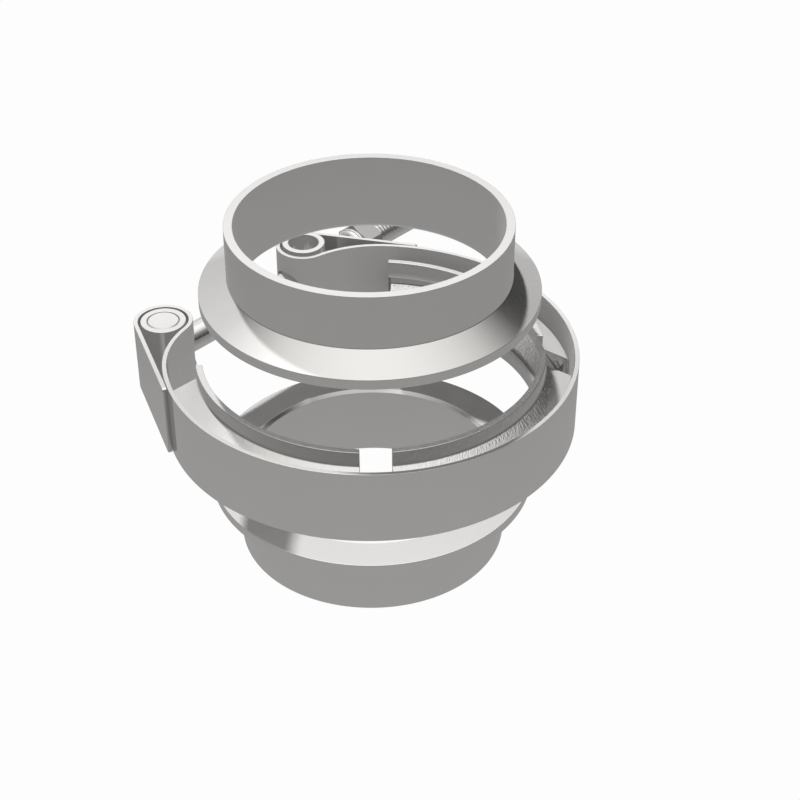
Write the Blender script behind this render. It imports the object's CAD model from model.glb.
import math

import bpy
import numpy as np
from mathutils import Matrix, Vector


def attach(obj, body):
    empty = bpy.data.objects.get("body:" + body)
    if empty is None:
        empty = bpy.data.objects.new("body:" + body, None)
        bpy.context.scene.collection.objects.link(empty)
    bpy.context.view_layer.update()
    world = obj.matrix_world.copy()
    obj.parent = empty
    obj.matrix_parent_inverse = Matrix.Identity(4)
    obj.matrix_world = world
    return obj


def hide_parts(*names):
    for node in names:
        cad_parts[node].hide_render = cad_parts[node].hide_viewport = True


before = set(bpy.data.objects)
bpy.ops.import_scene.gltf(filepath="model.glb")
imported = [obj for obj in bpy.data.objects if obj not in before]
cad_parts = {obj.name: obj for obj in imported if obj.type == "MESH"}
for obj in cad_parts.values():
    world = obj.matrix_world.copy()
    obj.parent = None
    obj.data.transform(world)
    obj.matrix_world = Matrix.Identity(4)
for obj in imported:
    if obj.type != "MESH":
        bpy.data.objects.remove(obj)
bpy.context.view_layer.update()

MM = 0.001
scene = bpy.context.scene


def rad(a):
    return math.radians(a)


def dirv(a):
    return np.array([math.cos(rad(a)), math.sin(rad(a))])


# ---------------------------------------------------------------- camera
cam_data = bpy.data.cameras.new("camera")
cam = bpy.data.objects.new("camera", cam_data)
scene.collection.objects.link(cam)
cam_data.lens = 76.12
cam_data.sensor_width = 36.0
cam_data.clip_start = 0.01
cam_data.clip_end = 50.0
cam.location = (-0.28466, -0.26250, 0.31640)
cam.rotation_mode = "XYZ"
cam.rotation_euler = (rad(54.82), 0.0, rad(-48.5))
scene.camera = cam
scene.view_settings.view_transform = "Standard"
scene.view_settings.look = "None"
scene.view_settings.exposure = 0.0
scene.view_settings.gamma = 1.0
scene.cycles.transparent_max_bounces = 32

# ---------------------------------------------------------------- sizes, mm
TUBE_R, BORE_R = 38.1, 35.7
STUB_H, CONE_H, RIM_H = 15.1, 4.1, 2.8
RIM_R = 45.8
FLANGE_H = STUB_H + CONE_H + RIM_H
MID_Z = FLANGE_H + 28.4
TOP_Z = MID_Z + 28.4 + FLANGE_H
STRAP_T, HW = 1.2, 10.6
BAND_R = 57.0 - STRAP_T / 2
LOOP_R, LOOP_A = 60.2, 28.0
COIL_R = 7.1 + STRAP_T / 2
NECK_R = 30.0
TAIL_R = 57.0 + 0.2 + STRAP_T / 2
LX, LY = LOOP_R * math.sin(rad(LOOP_A)), LOOP_R * math.cos(rad(LOOP_A))
LIP_R, RET_T, LIP_H, LEG_A, BEND_R = 46.2, 1.8, 4.2, 27.0, 0.8
RET_OR = 55.75
GAP_W, GAP_A, OPEN_A, RET_TURN = 8.2, 45.0, 52.8, -1.2
SHANK_R, HEAD_R = 3.95, 4.4
TRUN_O, TRUN_I, TRUN_OUT, CROSS_R = 6.4, 4.6, 0.9, 4.4
BOLT_L, WASHER_AT = 114.0, 77.6
NUT_AF, NUT_H, NUT_TURN = 13.0, 6.8, -8.0
PITCH = 1.25


# ---------------------------------------------------------------- mesh helpers
def new_object(name, verts, faces, normals=None, sharp=None):
    me = bpy.data.meshes.new(name)
    me.from_pydata([tuple(float(c) * MM for c in v) for v in verts], [], [tuple(int(i) for i in f) for f in faces])
    me.validate()
    me.polygons.foreach_set("use_smooth", [True] * len(me.polygons))
    me.update()
    if normals is not None:
        me.normals_split_custom_set_from_vertices([tuple(float(c) for c in n) for n in normals])
    elif sharp is not None:
        me.set_sharp_from_angle(angle=rad(sharp))
    ob = bpy.data.objects.new(name, me)
    scene.collection.objects.link(ob)
    return ob


def rounded(poly, radii, step=15.0):
    """A closed counter-clockwise outline with rounded corners: its points and their outward normals."""
    pts, nrm = [], []
    n = len(poly)
    for i in range(n):
        a, b, c = (np.array(poly[k % n], float) for k in (i - 1, i, i + 1))
        u, w = (b - a) / np.linalg.norm(b - a), (c - b) / np.linalg.norm(c - b)
        n0, n1 = np.array([u[1], -u[0]]), np.array([w[1], -w[0]])
        turn = math.atan2(u[0] * w[1] - u[1] * w[0], float(u @ w))
        side = 1.0 if turn > 0 else -1.0
        centre = b - side * radii[i] * (n0 + n1) / (1 + float(n0 @ n1))
        k = max(2, math.ceil(abs(math.degrees(turn)) / step))
        a0 = math.atan2(n0[1], n0[0])
        for j in range(k + 1):
            t = a0 + turn * j / k
            d = np.array([math.cos(t), math.sin(t)])
            pts.append(centre + side * radii[i] * d)
            nrm.append(d)
    return np.array(pts), np.array(nrm)


def lathe(name, pts, nrm, n):
    """The outline turned once round Z."""
    m = len(pts)
    verts, normals, faces = [], [], []
    for j in range(n):
        c, s = math.cos(2 * math.pi * j / n), math.sin(2 * math.pi * j / n)
        for p, d in zip(pts, nrm):
            verts.append((p[0] * c, p[0] * s, p[1]))
            normals.append((d[0] * c, d[0] * s, d[1]))
    for j in range(n):
        k = (j + 1) % n
        for i in range(m):
            l = (i + 1) % m
            faces.append((j * m + i, k * m + i, k * m + l, j * m + l))
    return new_object(name, verts, faces, normals)


def solid_lathe(name, prof, n, sharp=30):
    """A turned solid whose outline starts and ends on the axis: prof is a list of (r, z) from bottom to top."""
    verts, faces = [], []
    rows = []
    for r, z in prof:
        if r < 1e-9:
            verts.append((0, 0, z))
            rows.append([len(verts) - 1] * n)
        else:
            rows.append(list(range(len(verts), len(verts) + n)))
            verts += [(r * math.cos(2 * math.pi * j / n), r * math.sin(2 * math.pi * j / n), z) for j in range(n)]
    for a, b in zip(rows, rows[1:]):
        for j in range(n):
            k = (j + 1) % n
            f = []
            for i in (a[j], a[k], b[k], b[j]):
                if i not in f:
                    f.append(i)
            if len(f) > 2:
                faces.append(tuple(f))
    return new_object(name, verts, faces, sharp=sharp)


def boolean(ob, tool, how):
    mod = ob.modifiers.new("cut", "BOOLEAN")
    mod.operation, mod.solver, mod.object = how, "EXACT", tool
    dg = bpy.context.evaluated_depsgraph_get()
    me = bpy.data.meshes.new_from_object(ob.evaluated_get(dg))
    ob.modifiers.clear()
    old, ob.data = ob.data, me
    bpy.data.meshes.remove(old)
    bpy.data.objects.remove(tool)
    return ob


def place(ob, matrix):
    ob.data.transform(matrix)
    return ob


def finish_piece(ob, body, node, material):
    ob.data.materials.clear()
    ob.data.materials.append(material)
    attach(ob, body)
    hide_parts(node)
    ob.visible_glossy = node in ("clamp_strap", "nut_trunnion", "t_head_sleeve")
    return ob


# ---------------------------------------------------------------- materials
METAL = 0.84         # the rest is the dull part of the finish, which the key light shows up


def steel(name, base, rough, rough_var, bump_mm, bump_scale, turned=0.0, grain=None, near=None, lips=1.0, crease=1.0):
    """Bright steel: uneven gloss in soft patches, a fine surface grain and, on turned parts, faint rings.

    With near, another piece mirrors this one only from close by, as a plain grey of that brightness; from farther off
    it mirrors the studio behind it."""
    mat = bpy.data.materials.new(name)
    mat.use_nodes = True
    nt = mat.node_tree
    nt.nodes.clear()
    out = nt.nodes.new("ShaderNodeOutputMaterial")
    bsdf = nt.nodes.new("ShaderNodeBsdfPrincipled")
    bsdf.inputs["Metallic"].default_value = METAL
    if near is None:
        nt.links.new(bsdf.outputs[0], out.inputs[0])
    else:
        path = nt.nodes.new("ShaderNodeLightPath")
        plain = nt.nodes.new("ShaderNodeEmission")
        plain.inputs["Color"].default_value = (near * 1.01, near, near * 0.985, 1)
        gone = nt.nodes.new("ShaderNodeBsdfTransparent")
        fade = nt.nodes.new("ShaderNodeMapRange")
        fade.inputs["From Min"].default_value, fade.inputs["From Max"].default_value = 8 * MM, 14 * MM
        nt.links.new(path.outputs["Ray Length"], fade.inputs["Value"])
        again = nt.nodes.new("ShaderNodeMath")
        again.operation = "MAXIMUM"
        nt.links.new(fade.outputs[0], again.inputs[0])
        nt.links.new(path.outputs["Transparent Depth"], again.inputs[1])
        seen = nt.nodes.new("ShaderNodeMixShader")
        nt.links.new(again.outputs[0], seen.inputs[0])
        nt.links.new(plain.outputs[0], seen.inputs[1])
        nt.links.new(gone.outputs[0], seen.inputs[2])
        either = nt.nodes.new("ShaderNodeMixShader")
        nt.links.new(path.outputs["Is Glossy Ray"], either.inputs[0])
        nt.links.new(bsdf.outputs[0], either.inputs[1])
        nt.links.new(seen.outputs[0], either.inputs[2])
        nt.links.new(either.outputs[0], out.inputs[0])
    co = nt.nodes.new("ShaderNodeTexCoord").outputs["Object"]

    def noise(scale, detail=2.0, roughness=0.5, vector=None):
        n = nt.nodes.new("ShaderNodeTexNoise")
        n.inputs["Scale"].default_value = scale
        n.inputs["Detail"].default_value = detail
        n.inputs["Roughness"].default_value = roughness
        nt.links.new(vector if vector is not None else co, n.inputs["Vector"])
        return n.outputs["Fac"]

    def to_range(value, lo, hi, a=0.3, b=0.7):
        r = nt.nodes.new("ShaderNodeMapRange")
        r.inputs["From Min"].default_value, r.inputs["From Max"].default_value = a, b
        r.inputs["To Min"].default_value, r.inputs["To Max"].default_value = lo, hi
        nt.links.new(value, r.inputs["Value"])
        return r.outputs[0]

    def math_node(op, a, b):
        m = nt.nodes.new("ShaderNodeMath")
        m.operation = op
        for k, v in enumerate((a, b)):
            if isinstance(v, (int, float)):
                m.inputs[k].default_value = v
            else:
                nt.links.new(v, m.inputs[k])
        return m.outputs[0]

    # colour: a slow drift of the grey
    mix = nt.nodes.new("ShaderNodeMix")
    mix.data_type = "RGBA"
    mix.inputs["A"].default_value = (base[0] * 0.985, base[1] * 0.985, base[2] * 0.985, 1)
    mix.inputs["B"].default_value = (base[0], base[1], base[2], 1)
    nt.links.new(to_range(noise(55, 3.0), 0.0, 1.0), mix.inputs["Factor"])
    if lips < 1.0:       # upright faces are duller than sloping ones
        nsep = nt.nodes.new("ShaderNodeSeparateXYZ")
        nt.links.new(nt.nodes.new("ShaderNodeTexCoord").outputs["Normal"], nsep.inputs[0])
        shade = nt.nodes.new("ShaderNodeMix")
        shade.data_type, shade.blend_type = "RGBA", "MULTIPLY"
        shade.inputs["Factor"].default_value = 1.0
        nt.links.new(mix.outputs["Result"], shade.inputs["A"])
        nt.links.new(to_range(math_node("ABSOLUTE", nsep.outputs[2], 0.0), lips, 1.0, 0.25, 0.70), shade.inputs["B"])
        nt.links.new(shade.outputs["Result"], bsdf.inputs["Base Color"])
    elif crease < 1.0:   # less light gets into the corners between the strip and what touches it
        near_by = nt.nodes.new("ShaderNodeAmbientOcclusion")
        near_by.samples = 6
        near_by.inputs["Distance"].default_value = 14 * MM
        shade = nt.nodes.new("ShaderNodeMix")
        shade.data_type, shade.blend_type = "RGBA", "MULTIPLY"
        shade.inputs["Factor"].default_value = 1.0
        nt.links.new(mix.outputs["Result"], shade.inputs["A"])
        nt.links.new(to_range(near_by.outputs["AO"], crease, 1.0, 0.2, 0.95), shade.inputs["B"])
        nt.links.new(shade.outputs["Result"], bsdf.inputs["Base Color"])
    else:
        nt.links.new(mix.outputs["Result"], bsdf.inputs["Base Color"])
    # gloss: patches a few millimetres across with a finer mottle
    patches = to_range(noise(160, 2.0), rough - rough_var, rough + rough_var)
    fine = to_range(noise(1800, 1.0), -0.35 * rough_var, 0.35 * rough_var)
    nt.links.new(math_node("ADD", patches, fine), bsdf.inputs["Roughness"])
    # relief
    height = to_range(noise(bump_scale, 3.0, 0.55), 0.0, 1.0, 0.0, 1.0)
    if turned > 0:
        sep = nt.nodes.new("ShaderNodeSeparateXYZ")
        nt.links.new(co, sep.inputs[0])
        r2 = math_node("ADD", math_node("MULTIPLY", sep.outputs[0], sep.outputs[0]),
                       math_node("MULTIPLY", sep.outputs[1], sep.outputs[1]))
        comb = nt.nodes.new("ShaderNodeCombineXYZ")
        nt.links.new(math_node("SQRT", r2, 0.0), comb.inputs[0])
        nt.links.new(sep.outputs[2], comb.inputs[1])
        height = math_node("ADD", height, math_node("MULTIPLY", noise(2600, 2.0, 0.6, comb.outputs[0]), turned))
    if grain is not None:
        # short marks side by side, which cross the ring at a slant and turn with it
        amount, scale, slant, length = grain
        gsep = nt.nodes.new("ShaderNodeSeparateXYZ")
        nt.links.new(co, gsep.inputs[0])
        rr = math_node("ADD", math_node("MULTIPLY", gsep.outputs[0], gsep.outputs[0]),
                       math_node("MULTIPLY", gsep.outputs[1], gsep.outputs[1]))
        turn = math_node("ARCTAN2", gsep.outputs[0], math_node("MULTIPLY", gsep.outputs[1], -1.0))
        ring = nt.nodes.new("ShaderNodeCombineXYZ")
        nt.links.new(math_node("SQRT", rr, 0.0), ring.inputs[0])
        nt.links.new(math_node("MULTIPLY", turn, 0.052), ring.inputs[1])
        nt.links.new(gsep.outputs[2], ring.inputs[2])
        m = nt.nodes.new("ShaderNodeMapping")
        m.vector_type = "TEXTURE"
        m.inputs["Rotation"].default_value = (0.0, 0.0, rad(slant))
        m.inputs["Scale"].default_value = (length, 1.0, 4.0)
        nt.links.new(ring.outputs[0], m.inputs["Vector"])
        # the left segment is smoother
        deep = to_range(turn, 0.35 * amount, amount, -0.83, -0.80)
        height = math_node("ADD", height, math_node("MULTIPLY", noise(scale, 1.0, 0.5, m.outputs[0]), deep))
    bump = nt.nodes.new("ShaderNodeBump")
    bump.inputs["Strength"].default_value = 1.0
    bump.inputs["Distance"].default_value = bump_mm * MM
    nt.links.new(height, bump.inputs["Height"])
    nt.links.new(bump.outputs[0], bsdf.inputs["Normal"])
    return mat


BASE = (0.925, 0.917, 0.905)
M_FLANGE = steel("flange_steel", BASE, 0.08, 0.02, 0.0002, 900, turned=0.5)
M_STRAP = steel("strap_steel", BASE, 0.08, 0.02, 0.0002, 1200, near=0.18, crease=0.55)
M_RET = steel("retainer_steel", BASE, 0.10, 0.03, 0.004, 2500, grain=(31.0, 2600, -35.5, 2.2), lips=0.78)
M_BOLT = steel("bolt_steel", BASE, 0.09, 0.02, 0.0003, 1500)
M_TRUN = steel("trunnion_steel", BASE, 0.08, 0.02, 0.0002, 1200, near=0.16)
M_WASHER = steel("washer_steel", BASE, 0.08, 0.02, 0.0003, 1500)
M_NUT = steel("nut_steel", (0.50, 0.495, 0.488), 0.09, 0.03, 0.0004, 1500)

# ---------------------------------------------------------------- flanges
E = 0.12
poly = [(BORE_R, 0), (TUBE_R, 0), (TUBE_R, STUB_H), (RIM_R, STUB_H + CONE_H), (RIM_R, FLANGE_H),
        (BORE_R + 0.9, FLANGE_H), (BORE_R, FLANGE_H - 0.9)]
pts, nrm = rounded(poly, [E, E, 0.3, 0.15, 0.15, 0.1, 0.1])
low = lathe("lower_weld_flange", pts, nrm, 360)
finish_piece(low, "lower", "lower_flange", M_FLANGE)
up_pts = np.stack([pts[:, 0], TOP_Z - pts[:, 1]], 1)[::-1]
up_nrm = np.stack([nrm[:, 0], -nrm[:, 1]], 1)[::-1]
upp = lathe("upper_weld_flange", up_pts, up_nrm, 360)
finish_piece(upp, "upper", "upper_flange", M_FLANGE)

# ---------------------------------------------------------------- strap
tail_b = math.degrees(math.acos((TAIL_R - COIL_R) / LOOP_R))
neck_c = BAND_R - NECK_R
neck_g = math.degrees(math.acos((neck_c ** 2 + LOOP_R ** 2 - (NECK_R + COIL_R) ** 2) / (2 * neck_c * LOOP_R)))
A_TAIL, A_NECK = 90 - LOOP_A - tail_b, 90 - LOOP_A - neck_g
C_LOOP, C_NECK = np.array([LX, LY]), neck_c * dirv(90 - LOOP_A - neck_g)
vn = C_NECK - C_LOOP
A_JOIN = 180 + math.degrees(math.atan(vn[1] / vn[0]))
L_TAIL = float(np.linalg.norm(C_LOOP + COIL_R * dirv(A_TAIL) - TAIL_R * dirv(A_TAIL)))
L_LOOP = COIL_R * rad(A_JOIN - A_TAIL)
L_NECK = NECK_R * rad(A_JOIN - 180 - A_NECK)
L_BAND = BAND_R * rad(A_NECK + 90)
HALF = L_TAIL + L_LOOP + L_NECK + L_BAND


def strap_at(s):
    """Middle line of the strip at length s: point, and the direction out of its outer face."""
    mirror = s > HALF
    s = 2 * HALF - s if mirror else s
    if s <= L_TAIL:
        d = dirv(A_TAIL)
        a, b = TAIL_R * d, C_LOOP + COIL_R * d
        p, n = a + (b - a) * (s / L_TAIL), d
    elif s <= L_TAIL + L_LOOP:
        n = dirv(A_TAIL + math.degrees((s - L_TAIL) / COIL_R))
        p = C_LOOP + COIL_R * n
    elif s <= L_TAIL + L_LOOP + L_NECK:
        d = dirv(A_JOIN - 180 - math.degrees((s - L_TAIL - L_LOOP) / NECK_R))
        p, n = C_NECK + NECK_R * d, -d
    else:
        d = dirv(A_NECK - math.degrees((s - L_TAIL - L_LOOP - L_NECK) / BAND_R))
        p, n = BAND_R * d, -d
    if mirror:
        p, n = np.array([-p[0], p[1]]), np.array([-n[0], n[1]])
    return p, n


def loop_s(a):
    return L_TAIL + COIL_R * rad(a - A_TAIL)


DEL = 0.13           # rounding of the strip's edges
SLOT_R = 4.7
HOLE_R = 4.4         # round hole where the shank enters the nut's loop
# windows for the shank: (start, end, corner radius, half height)
half_y = math.degrees(math.asin((SLOT_R + 1.5) / COIL_R))
half_h = math.degrees(math.asin(HOLE_R / COIL_R))
run = (COIL_R * math.sin(rad(A_TAIL)) + SLOT_R + 1.5) / math.cos(rad(A_TAIL))
windows = [(L_TAIL - run, loop_s(half_y), 4.2, SLOT_R),
           (loop_s(180 - half_h), loop_s(180 + half_h), 4.2, HOLE_R),
           (2 * HALF - loop_s(180 + half_y), 2 * HALF - loop_s(83), 2.5, SLOT_R)]

cols = []            # each: (s, Z, mZ, h, mh): mZ and mh are the in-plane edge normals at +Z and +h
RC = 0.8             # corner radius of the tail ends


def add_plain(s):
    cols.append([s, HW - DEL, (0.0, 1.0), None, None])


for k in range(7):   # rounded corners of the first tail end
    t = rad(90 * k / 6)
    cols.append([DEL + RC - RC * math.cos(t), HW - DEL - RC + RC * math.sin(t), (-math.cos(t), math.sin(t)), None, None])
end = [[2 * HALF - c[0], c[1], (-c[2][0], c[2][1]), None, None] for c in reversed(cols)]


def steps(a, b):
    """Plain columns between a and b, closer together where the strip bends tightly."""
    s = a
    while True:
        q = min(s, 2 * HALF - s)
        step = 2.0 if q < L_TAIL - 1 else 0.34 if q < L_TAIL + L_LOOP + 1 else 0.7 if q < L_TAIL + L_LOOP + L_NECK + 1 else 0.9
        s += step
        if s > b - 0.4 * step:
            return
        add_plain(s)


last = cols[-1][0]
for s0, s1, rc, half in windows:
    a, b = s0 - DEL, s1 + DEL
    R, H = rc + DEL, half + DEL
    steps(last, a)
    for k in range(9):
        t = rad(90 * k / 8)
        cols.append([a + R - R * math.cos(t), HW - DEL, (0.0, 1.0), H - R + R * math.sin(t), (math.cos(t), -math.sin(t))])
    m = max(2, int((b - a - 2 * R) / 0.34))
    for k in range(1, m):
        cols.append([a + R + (b - a - 2 * R) * k / m, HW - DEL, (0.0, 1.0), H, (0.0, -1.0)])
    for k in range(9):
        t = rad(90 - 90 * k / 8)
        cols.append([b - R + R * math.cos(t), HW - DEL, (0.0, 1.0), H - R + R * math.sin(t), (-math.cos(t), -math.sin(t))])
    last = b
steps(last, end[0][0])
cols += end

verts, normals, faces = [], [], []


def strap_vertex(s, z, h, m=(0.0, 0.0), phi=None, side=1.0):
    """A vertex at (s, z), h above the middle surface; phi turns its normal from the face to the edge."""
    p, n = strap_at(s)
    tan = np.array([-n[1], n[0]])
    q = p + n * h
    if phi is None:
        d = np.array([n[0] * side, n[1] * side, 0.0])
    else:
        c, k = math.cos(phi) * side, math.sin(phi)
        d = np.array([n[0] * c + tan[0] * m[0] * k, n[1] * c + tan[1] * m[0] * k, m[1] * k])
    verts.append((q[0], q[1], MID_Z + z))
    normals.append(d / np.linalg.norm(d))
    return len(verts) - 1


grid = {1: [], -1: []}
for side in (1, -1):
    for s, Z, mz, h, mh in cols:
        zs = [-Z, 0.0, Z] if h is None else [-Z, -h, h, Z]
        grid[side].append([strap_vertex(s, z, side * STRAP_T / 2, side=side) for z in zs])
for side in (1, -1):
    g = grid[side]
    for k in range(len(cols) - 1):
        a, b = g[k], g[k + 1]
        if len(a) == len(b) == 3:
            fs = [(a[0], b[0], b[1], a[1]), (a[1], b[1], b[2], a[2])]
        elif len(a) == len(b) == 4:
            fs = [(a[0], b[0], b[1], a[1]), (a[2], b[2], b[3], a[3])]
        elif len(a) == 3:
            fs = [(a[0], b[0], b[1], a[1]), (a[1], b[1], b[2]), (a[1], b[2], b[3], a[2])]
        else:
            fs = [(a[0], b[0], b[1], a[1]), (a[1], b[1], a[2]), (a[2], b[1], b[2], a[3])]
        faces += [f if side == 1 else tuple(reversed(f)) for f in fs]


def edge_wall(loop):
    """Rounded edge between the two faces along a closed loop of (column, row, in-plane normal), material on the left."""
    rings = []
    for k, row, m in loop:
        s, z = cols[k][0], None
        top, bottom = grid[1][k][row], grid[-1][k][row]
        z = (verts[top][2] - MID_Z)
        ring = [top]
        for phi in (rad(30), rad(60), rad(90)):
            ring.append(strap_vertex(s + m[0] * DEL * math.sin(phi), z + m[1] * DEL * math.sin(phi),
                                     STRAP_T / 2 - DEL * (1 - math.cos(phi)), m, phi, 1.0))
        for phi in (rad(90), rad(60), rad(30)):
            ring.append(strap_vertex(s + m[0] * DEL * math.sin(phi), z + m[1] * DEL * math.sin(phi),
                                     -(STRAP_T / 2 - DEL * (1 - math.cos(phi))), m, phi, -1.0))
        ring.append(bottom)
        rings.append(ring)
    for a, b in zip(rings, rings[1:] + rings[:1]):
        for j in range(len(a) - 1):
            faces.append((a[j], a[j + 1], b[j + 1], b[j]))


n_cols = len(cols)
outer = [(k, 0, (cols[k][2][0], -cols[k][2][1])) for k in range(n_cols)]
outer += [(n_cols - 1, 1, (1.0, 0.0))]
outer += [(k, 2 if cols[k][3] is None else 3, cols[k][2]) for k in range(n_cols - 1, -1, -1)]
outer += [(0, 1, (-1.0, 0.0))]
edge_wall(outer)
k = 0
while k < n_cols:
    if cols[k][3] is None:
        k += 1
        continue
    j = k
    while cols[j][3] is not None:
        j += 1
    hole = [(i, 2, cols[i][4]) for i in range(k, j)]
    hole += [(i, 1, (cols[i][4][0], -cols[i][4][1])) for i in range(j - 1, k - 1, -1)]
    edge_wall(hole)
    k = j
strap = new_object("strap_band", verts, faces, normals)
finish_piece(strap, "clamp", "clamp_strap", M_STRAP)

# ---------------------------------------------------------------- retainers
leg_t = math.tan(rad(LEG_A))
web_o = HW - LIP_H - (RET_OR - LIP_R - RET_T) * leg_t
lip_i = HW - LIP_H + RET_T * leg_t - RET_T / math.cos(rad(LEG_A))
web_i = lip_i - (RET_OR - RET_T - LIP_R) * leg_t
RP = [(LIP_R, HW, 0.2), (LIP_R, lip_i, BEND_R + RET_T), (RET_OR - RET_T, web_i, BEND_R), (RET_OR - RET_T, -web_i, BEND_R),
      (LIP_R, -lip_i, BEND_R + RET_T), (LIP_R, -HW, 0.2), (LIP_R + RET_T, -HW, 0.2), (LIP_R + RET_T, -(HW - LIP_H), BEND_R),
      (RET_OR, -web_o, BEND_R + RET_T / 2), (RET_OR, web_o, BEND_R + RET_T / 2), (LIP_R + RET_T, HW - LIP_H, BEND_R),
      (LIP_R + RET_T, HW, 0.2)]
ret_pts, ret_nrm = rounded([p[:2] for p in RP], [p[2] for p in RP], 9.0)


def retainer(name, start, stop, n):
    """The V section swept about Z. start and stop are ('cut', gap angle) for a gap's flat face or ('end', angle)."""
    d = 0.2
    m = len(ret_pts)
    verts, normals, faces, rings = [], [], [], []

    def ring_at(frac, inset, back, phi, which):
        """One ring of the section; back draws it back from an end's plane, inset shrinks it, phi turns its normals."""
        ring = []
        for p, q in zip(ret_pts, ret_nrm):
            r, z = p[0] - q[0] * inset, p[1] - q[1] * inset
            ang = []
            for kind, a, sign in ((start[0], start[1], 1), (stop[0], stop[1], -1)):
                b = back if (which == 0 and sign == 1) or (which == 1 and sign == -1) else d
                if kind == "cut":
                    ang.append(rad(a) + sign * math.asin((GAP_W / 2 + b) / r))
                else:
                    ang.append(rad(a) + sign * math.asin(b / r))
            t = ang[0] + (ang[1] - ang[0]) * frac + rad(RET_TURN)
            verts.append((r * math.cos(t), r * math.sin(t), MID_Z + z))
            out = np.array([q[0] * math.cos(t), q[0] * math.sin(t), q[1]])
            if phi > 0:
                a = rad((start if which == 0 else stop)[1] + RET_TURN)
                e = np.array([math.sin(a), -math.cos(a), 0.0]) * (1 if which == 0 else -1)
                out = out * math.cos(phi) + e * math.sin(phi)
            normals.append(out / np.linalg.norm(out))
            ring.append(len(verts) - 1)
        rings.append(ring)

    for phi in (rad(90), rad(60), rad(30)):
        ring_at(0, d * (1 - math.cos(phi)), d * (1 - math.sin(phi)), phi, 0)
    for j in range(n + 1):
        ring_at(j / n, 0, d, 0, 2)
    for phi in (rad(30), rad(60), rad(90)):
        ring_at(1, d * (1 - math.cos(phi)), d * (1 - math.sin(phi)), phi, 1)
    for a, b in zip(rings, rings[1:]):
        for i in range(m):
            l = (i + 1) % m
            faces.append((a[i], b[i], b[l], a[l]))
    faces.append(tuple(rings[0]))
    faces.append(tuple(reversed(rings[-1])))
    return new_object(name, verts, faces, normals)


for name, node, start, stop, n in (
        ("retainer_segment_left", "retainer_left", ("end", -270 + OPEN_A), ("cut", -90 - GAP_A), 84),
        ("retainer_segment_middle", "retainer_middle", ("cut", -90 - GAP_A), ("cut", -90 + GAP_A), 90),
        ("retainer_segment_right", "retainer_right", ("cut", -90 + GAP_A), ("end", 90 - OPEN_A), 84)):
    finish_piece(retainer(name, start, stop, n), "clamp", node, M_RET)

# ---------------------------------------------------------------- bolt
# T head with a short stub, then the shank with its rolled thread
N_SH = 64
STUB = 9.0
head = solid_lathe("t_bolt_forged", [(0, -HW), (HEAD_R - 0.25, -HW), (HEAD_R, -HW + 0.25), (HEAD_R, HW - 0.25),
                                     (HEAD_R - 0.25, HW), (0, HW)], 96)
stub = solid_lathe("stub", [(0, 0), (SHANK_R, 0), (SHANK_R, STUB), (0, STUB)], N_SH)
from mathutils import Matrix
TO_X = Matrix(((0, 0, 1, 0), (0, 1, 0, 0), (-1, 0, 0, 0), (0, 0, 0, 1)))   # Z to X, X to -Z
place(stub, TO_X)
boolean(head, stub, "UNION")
bolt = head
bm_faces = []
T0, T1 = 64.3 - 0.0, BOLT_L          # thread's start and end, from the head's axis
MINOR = SHANK_R - 0.56


def thread_r(x, th):
    """Shank radius at x from the head and turn th: a right-hand 60 degree thread with flats."""
    ph = (x / PITCH - th / (2 * math.pi)) % 1.0
    u = abs(ph - 0.5) * 2                      # 1 on the crest, 0 in the root
    k = min(1.0, max(0.0, (u - 0.22) / 0.62))
    r = MINOR + (SHANK_R - MINOR) * k
    fade = min(1.0, max(0.0, (x - T0) / 2.0))
    r = SHANK_R - (SHANK_R - r) * fade
    return min(r, SHANK_R - 0.95 + (T1 - x) * 1.0) if x > T1 - 1.2 else r


xs = [STUB, 20, 35, 50, T0 - 0.5]
x = T0
while x < T1 - 1e-6:
    xs.append(x)
    x += PITCH / 12
xs.append(T1)
sv, sf = [], []
for x in xs:
    for j in range(N_SH):
        th = 2 * math.pi * j / N_SH
        # same ring as the stub's: its X axis was turned to -Z
        r = SHANK_R if x < T0 else thread_r(x, -th)
        sv.append((x, r * math.sin(th), -r * math.cos(th)))
for i in range(len(xs) - 1):
    for j in range(N_SH):
        k = (j + 1) % N_SH
        sf.append((i * N_SH + j, i * N_SH + k, (i + 1) * N_SH + k, (i + 1) * N_SH + j))
sf.append(tuple((len(xs) - 1) * N_SH + j for j in range(N_SH)))
shank = new_object("shank", sv, sf)
import bmesh
bm = bmesh.new()
bm.from_mesh(bolt.data)
doomed = [f for f in bm.faces if all(abs(v.co.x - STUB * MM) < 1e-7 for v in f.verts)]
bmesh.ops.delete(bm, geom=doomed, context="FACES")
bm.from_mesh(shank.data)
bmesh.ops.remove_doubles(bm, verts=bm.verts, dist=2e-6)
for f in bm.faces:
    f.smooth = True
bm.to_mesh(bolt.data)
bm.free()
bpy.data.objects.remove(shank)
place(bolt, Matrix.Translation((-LX * MM, LY * MM, MID_Z * MM)))
bolt.data.set_sharp_from_angle(angle=rad(40))
finish_piece(bolt, "clamp", "t_bolt", M_BOLT)

# ---------------------------------------------------------------- trunnion tubes
C = 0.18


def tube(name, z0, z1):
    pts, nrm = rounded([(TRUN_I, z0), (TRUN_O, z0), (TRUN_O, z1), (TRUN_I, z1)], [C] * 4, 30.0)
    return lathe(name, pts, nrm, 128)


sleeve = tube("t_head_sleeve_tube", -HW, HW)
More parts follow.
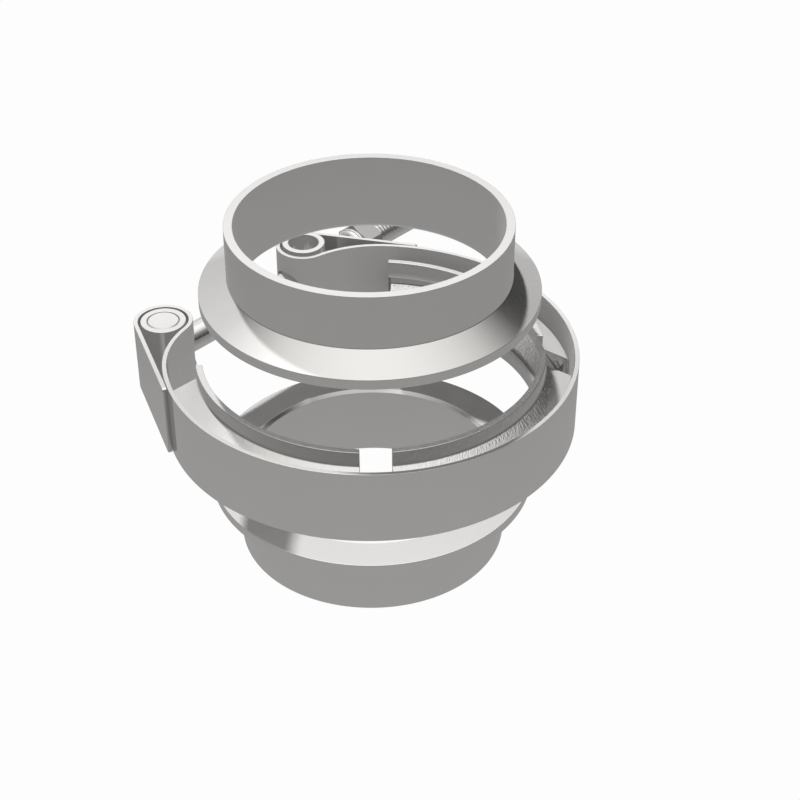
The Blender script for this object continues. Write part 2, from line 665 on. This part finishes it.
# way for the shank: round above, straight and open below
way = [(CROSS_R * math.cos(rad(a)), CROSS_R * math.sin(rad(a))) for a in range(0, 181, 5)] + [(-CROSS_R, -12.0), (CROSS_R, -12.0)]
nw = len(way)
cut = new_object("cut_way", [(0.0, y, z) for y, z in way] + [(11.0, y, z) for y, z in way],
                 [tuple(reversed(range(nw))), tuple(range(nw, 2 * nw))]
                 + [(i, (i + 1) % nw, nw + (i + 1) % nw, nw + i) for i in range(nw)])
boolean(sleeve, cut, "DIFFERENCE")
sleeve.data.polygons.foreach_set("use_smooth", [True] * len(sleeve.data.polygons))
sleeve.data.set_sharp_from_angle(angle=rad(35))
place(sleeve, Matrix.Translation((-LX * MM, LY * MM, MID_Z * MM)))
finish_piece(sleeve, "clamp", "t_head_sleeve", M_TRUN)

trun = tube("nut_trunnion_tube", -HW - TRUN_OUT, HW + TRUN_OUT)
cut = solid_lathe("cut_c", [(0, -11), (CROSS_R, -11), (CROSS_R, 11), (0, 11)], 72)
place(cut, TO_X)
boolean(trun, cut, "DIFFERENCE")
trun.data.polygons.foreach_set("use_smooth", [True] * len(trun.data.polygons))
trun.data.set_sharp_from_angle(angle=rad(35))
place(trun, Matrix.Translation((LX * MM, LY * MM, MID_Z * MM)))
finish_piece(trun, "clamp", "nut_trunnion", M_TRUN)

# ---------------------------------------------------------------- washer
ri = SHANK_R + 0.25
wp = [(ri, -1.4), (4.7, -1.4), (5.45, -1.12), (5.95, -0.6), (6.2, 0.0), (6.4, 0.1), (6.4, 1.0), (ri, 1.0)]
pts, nrm = rounded(wp, [0.12, 0.5, 0.6, 0.6, 0.12, 0.05, 0.12, 0.12], 10.0)
washer = lathe("domed_washer", pts, nrm, 128)
place(washer, Matrix.Translation(((-LX + WASHER_AT) * MM, LY * MM, MID_Z * MM)) @ TO_X)
finish_piece(washer, "washer", "washer", M_WASHER)

# ---------------------------------------------------------------- nut
N_NUT = 144
RF = NUT_AF / 2
r0 = RF - 0.15
rb = SHANK_R + 0.06
rows = []
for j in range(N_NUT):
    a = 360.0 * j / N_NUT
    d = a % 60.0 - 30.0              # corners at 0, 60, ... as in the CAD
    rh = RF / math.cos(rad(d))
    zc = (rh - r0) * 0.95 / 1.65
    rows.append((a, [(rb, 0.55), (rb + 0.55, 0.0), (r0, 0.0), (rh, zc), (rh, NUT_H - zc), (r0, NUT_H), (rb + 0.55, NUT_H),
                     (rb, NUT_H - 0.55)]))
verts, faces = [], []
m = 8
for a, prof in rows:
    for r, z in prof:
        verts.append((r * math.cos(rad(a)), r * math.sin(rad(a)), z))
for j in range(N_NUT):
    k = (j + 1) % N_NUT
    for i in range(m):
        l = (i + 1) % m
        faces.append((j * m + i, k * m + i, k * m + l, j * m + l))
nut = new_object("hex_nut", verts, faces, sharp=18)
place(nut, Matrix.Translation(((-LX + WASHER_AT + 1.0 + 0.05) * MM, LY * MM, MID_Z * MM)) @ TO_X @ Matrix.Rotation(rad(NUT_TURN), 4, "Z"))
finish_piece(nut, "nut", "nut", M_NUT)

# ---------------------------------------------------------------- floor, backdrop, light
WHITE = 0.983


def stage_mat(name):
    mat = bpy.data.materials.new(name)
    mat.use_nodes = True
    nt = mat.node_tree
    nt.nodes.clear()
    out = nt.nodes.new("ShaderNodeOutputMaterial")
    em = nt.nodes.new("ShaderNodeEmission")
    em.inputs["Color"].default_value = (1, 1, 1, 1)
    em.inputs["Strength"].default_value = WHITE
    nt.links.new(em.outputs[0], out.inputs[0])
    return mat


def hide_from_light(ob):
    """A stage piece is seen by the camera and lights nothing."""
    ob.visible_glossy = False
    ob.visible_diffuse = False
    ob.visible_transmission = False
    ob.visible_shadow = False


floor_me = bpy.data.meshes.new("studio_floor")
floor_me.from_pydata([(4 * math.cos(2 * math.pi * k / 64), 4 * math.sin(2 * math.pi * k / 64), -0.0002) for k in range(64)], [],
                     [tuple(range(64))])
floor = bpy.data.objects.new("studio_floor", floor_me)
scene.collection.objects.link(floor)
floor_me.materials.append(stage_mat("floor_white"))
hide_from_light(floor)
bm = bmesh.new()
bmesh.ops.create_uvsphere(bm, u_segments=48, v_segments=24, radius=4.0)
me = bpy.data.meshes.new("studio_backdrop")
bm.to_mesh(me)
bm.free()
back = bpy.data.objects.new("studio_backdrop", me)
scene.collection.objects.link(back)
me.materials.append(stage_mat("backdrop_white"))
hide_from_light(back)

world = bpy.data.worlds.new("studio")
scene.world = world
world.use_nodes = True
world.cycles.sampling_method = "NONE"
nt = world.node_tree
nt.nodes.clear()
out = nt.nodes.new("ShaderNodeOutputWorld")
bg = nt.nodes.new("ShaderNodeBackground")
nt.links.new(bg.outputs[0], out.inputs[0])
tc = nt.nodes.new("ShaderNodeTexCoord")
sep = nt.nodes.new("ShaderNodeSeparateXYZ")
nt.links.new(tc.outputs["Generated"], sep.inputs[0])


def ramp(value, stops):
    n = nt.nodes.new("ShaderNodeValToRGB")
    el = n.color_ramp.elements
    while len(el) > 1:
        el.remove(el[-1])
    for k, (pos, col) in enumerate(stops):
        e = el[0] if k == 0 else el.new(pos)
        e.position = pos
        e.color = (col, col, col, 1) if isinstance(col, float) else (*col, 1)
    nt.links.new(value, n.inputs[0])
    return n.outputs[0]


def towards(az, elev):
    """Cosine of the angle between a direction and this one; az is counted from the camera's right."""
    a = rad(az - 48.5)
    v = nt.nodes.new("ShaderNodeVectorMath")
    v.operation = "DOT_PRODUCT"
    v.inputs[1].default_value = (math.cos(a) * math.cos(rad(elev)), math.sin(a) * math.cos(rad(elev)), math.sin(rad(elev)))
    nt.links.new(tc.outputs["Generated"], v.inputs[0])
    return v.outputs["Value"]


def mix_rgb(kind, a, b, fac=1.0):
    n = nt.nodes.new("ShaderNodeMix")
    n.data_type, n.blend_type = "RGBA", kind
    n.inputs["Factor"].default_value = fac
    nt.links.new(a, n.inputs["A"])
    nt.links.new(b, n.inputs["B"])
    return n.outputs["Result"]


# sky and ground by height: pale underfoot, dark at the horizon, bright overhead
height = nt.nodes.new("ShaderNodeMapRange")
height.inputs["From Min"].default_value, height.inputs["From Max"].default_value = -1.0, 1.0
nt.links.new(sep.outputs[2], height.inputs["Value"])
TINT = (1.008, 0.998, 0.982)


def by_height(stops):
    return ramp(height.outputs[0], [(0.5 + 0.5 * math.sin(rad(a)), tuple(g * c for c in TINT)) for a, g in stops])


left = by_height([(-60, 0.36), (-41, 0.355), (-36, 0.335), (-33, 0.30), (-28, 0.28), (-16, 0.25), (-3, 0.23), (3, 0.05), (11, 0.05),
                  (20, 0.09), (27, 0.14), (35, 0.19), (39.4, 0.25), (41, 0.31), (44, 0.37), (52, 0.57), (61, 0.80), (70, 0.93), (90, 1.04)])
right = by_height([(-60, 0.36), (-41, 0.355), (-36, 0.335), (-33, 0.30), (-28, 0.28), (-16, 0.24), (-3, 0.21), (3, 0.03), (11, 0.02),
                   (28, 0.015), (33, 0.03), (37, 0.06), (41, 0.18), (45.6, 0.33), (54.4, 0.64), (63.4, 0.83), (72.6, 0.95), (90, 1.04)])
side = nt.nodes.new("ShaderNodeMapRange")
side.inputs["From Min"].default_value, side.inputs["From Max"].default_value = math.cos(rad(75)), math.cos(rad(30))
nt.links.new(towards(25, 20), side.inputs["Value"])
env = nt.nodes.new("ShaderNodeMix")
env.data_type = "RGBA"
nt.links.new(side.outputs[0], env.inputs["Factor"])
nt.links.new(left, env.inputs["A"])
nt.links.new(right, env.inputs["B"])
# a soft panel low behind
panel = ramp(height.outputs[0], [(0.5 + 0.5 * math.sin(rad(a)), g) for a, g in ((20, 0.0), (27, 0.20), (30, 0.26), (32.0, 0.26), (34.2, 0.0))])
over = ramp(towards(91, 28), [(math.cos(rad(24)), 0.0), (math.cos(rad(12)), 1.0)])
light = mix_rgb("ADD", env.outputs["Result"], mix_rgb("MULTIPLY", panel, over))
nt.links.new(light, bg.inputs["Color"])
bg.inputs["Strength"].default_value = 1.0

# key light from behind and above: it lights the dull part of the finish and throws the pieces' shadows on each other
key = bpy.data.lights.new("key", "SUN")
key.energy = 13.6
key.angle = rad(3.0)
key_ob = bpy.data.objects.new("key", key)
scene.collection.objects.link(key_ob)
ka, ke = rad(110.6 - 48.5), rad(61.9)
key_ob.rotation_euler = Vector((math.cos(ka) * math.cos(ke), math.sin(ka) * math.cos(ke), math.sin(ke))).to_track_quat("Z", "Y").to_euler()
key_ob.visible_glossy = False
